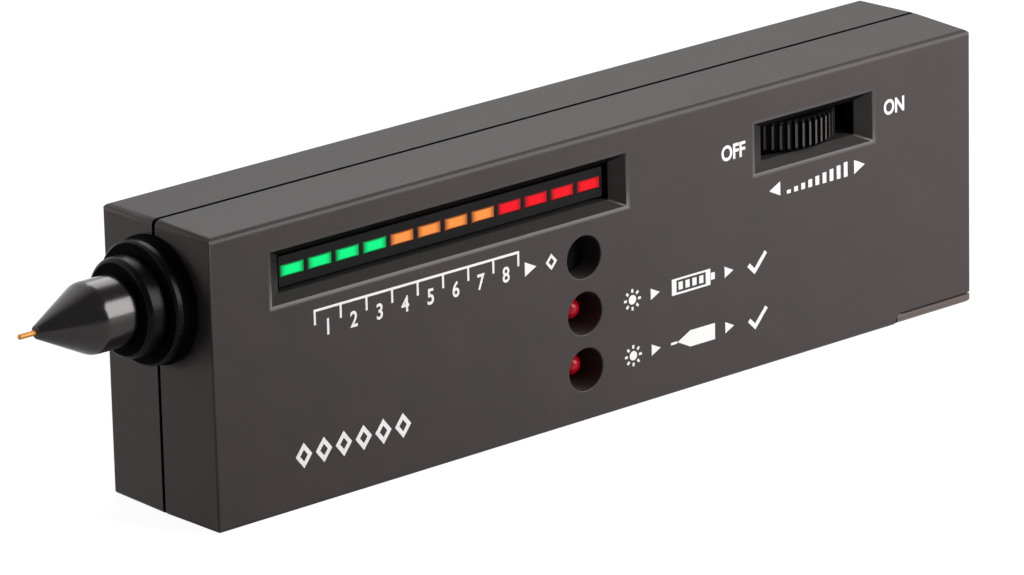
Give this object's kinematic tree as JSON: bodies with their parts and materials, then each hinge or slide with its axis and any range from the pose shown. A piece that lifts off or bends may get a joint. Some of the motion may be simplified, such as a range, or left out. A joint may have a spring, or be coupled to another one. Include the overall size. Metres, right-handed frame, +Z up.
{
  "type": "pocket gem tester",
  "caption": "Flat hand-held gem tester with a sprung copper probe at one end, a segmented light bar, status lamps, a thumbwheel and a sliding battery cover.",
  "frame": {"origin": "middle of the case's flat underside", "axes": "+X from the probe to the tail, +Y from the front face to the back, +Z up"},
  "size_m": [0.1571, 0.022, 0.04],
  "materials": {
    "case_abs": "fine moulded satin",
    "screw_steel": "plated",
    "nut_steel": "plated",
    "pad_foam": "closed-cell foam",
    "board_laminate": "solder mask",
    "holder_plastic": "satin",
    "segment_green": "diffused resin",
    "segment_amber": "diffused resin",
    "segment_red": "diffused resin",
    "lamp_red": "tinted resin",
    "black_plastic": "moulded",
    "trimmer_blue": "moulded",
    "trimmer_brass": "turned",
    "resistor_enamel": "lacquered",
    "capacitor_sleeve": "shrink sleeve",
    "wheel_plastic": "moulded ridges",
    "pale_nylon": "moulded",
    "bead_ceramic": "ceramic bead",
    "battery_jacket": "printed steel jacket, plain",
    "lead_red": "insulated wire",
    "lead_black": "insulated wire",
    "lead_grey": "insulated wire",
    "lead_white": "insulated wire",
    "lead_green": "insulated wire",
    "probe_black": "polished",
    "tip_copper": "bare copper"
  },
  "bodies": {
    "case": {"front_shell": "case_abs", "rear_shell": "case_abs", "case_screws": "screw_steel", "board_screws": "screw_steel", "battery_terminals": "screw_steel", "tip_spring": "screw_steel", "probe_nut": "nut_steel", "circuit_board": "board_laminate", "pot_board": "board_laminate", "bar_holder": "holder_plastic", "bar_segment_1": "segment_green", "bar_segment_2": "segment_green", "bar_segment_3": "segment_green", "bar_segment_4": "segment_green", "bar_segment_5": "segment_amber", "bar_segment_6": "segment_amber", "bar_segment_7": "segment_amber", "bar_segment_8": "segment_amber", "bar_segment_9": "segment_red", "bar_segment_10": "segment_red", "bar_segment_11": "segment_red", "bar_segment_12": "segment_red", "battery_lamp": "lamp_red", "ready_lamp": "lamp_red", "buzzer": "black_plastic", "driver_chip": "black_plastic", "amplifier_chip": "black_plastic", "pot_base": "black_plastic", "battery_snap": "black_plastic", "trimmer": "trimmer_blue", "trimmer_screw": "trimmer_brass", "resistor_1": "resistor_enamel", "resistor_2": "resistor_enamel", "resistor_3": "resistor_enamel", "resistor_4": "resistor_enamel", "resistor_5": "resistor_enamel", "resistor_6": "resistor_enamel", "capacitor_1": "capacitor_sleeve", "capacitor_2": "capacitor_sleeve", "capacitor_3": "capacitor_sleeve", "probe_plug": "pale_nylon", "battery": "battery_jacket", "red_lead": "lead_red", "black_lead": "lead_black", "pot_lead_1": "lead_grey", "pot_lead_2": "lead_grey", "pot_lead_3": "lead_grey", "probe_lead_1": "lead_white", "probe_lead_2": "lead_green", "probe_collar": "probe_black", "probe_nose": "probe_black"},
    "wheel": {"volume_wheel": "wheel_plastic", "wheel_screw": "screw_steel", "pot_rotor": "pale_nylon"},
    "tip": {"probe_tip": "tip_copper", "heater_bead": "bead_ceramic"},
    "cover": {"battery_cover": "case_abs", "battery_pad": "pad_foam"}
  },
  "joints": [
    {"name": "wheel_turn", "type": "hinge", "parent": "case", "child": "wheel", "pos_m": [0.0377, -0.0015, 0.03118], "axis": [0, 0, 1], "range_deg": [-150, 150]},
    {"name": "tip_press", "type": "slide", "parent": "case", "child": "tip", "axis": [1, 0, 0], "range_m": [0, 0.0012], "stiffness_N_per_m": 300, "deforming": ["tip_spring"]},
    {"name": "cover_slide", "type": "slide", "parent": "case", "child": "cover", "axis": [1, 0, 0], "range_m": [0, 0.02]}
  ]
}
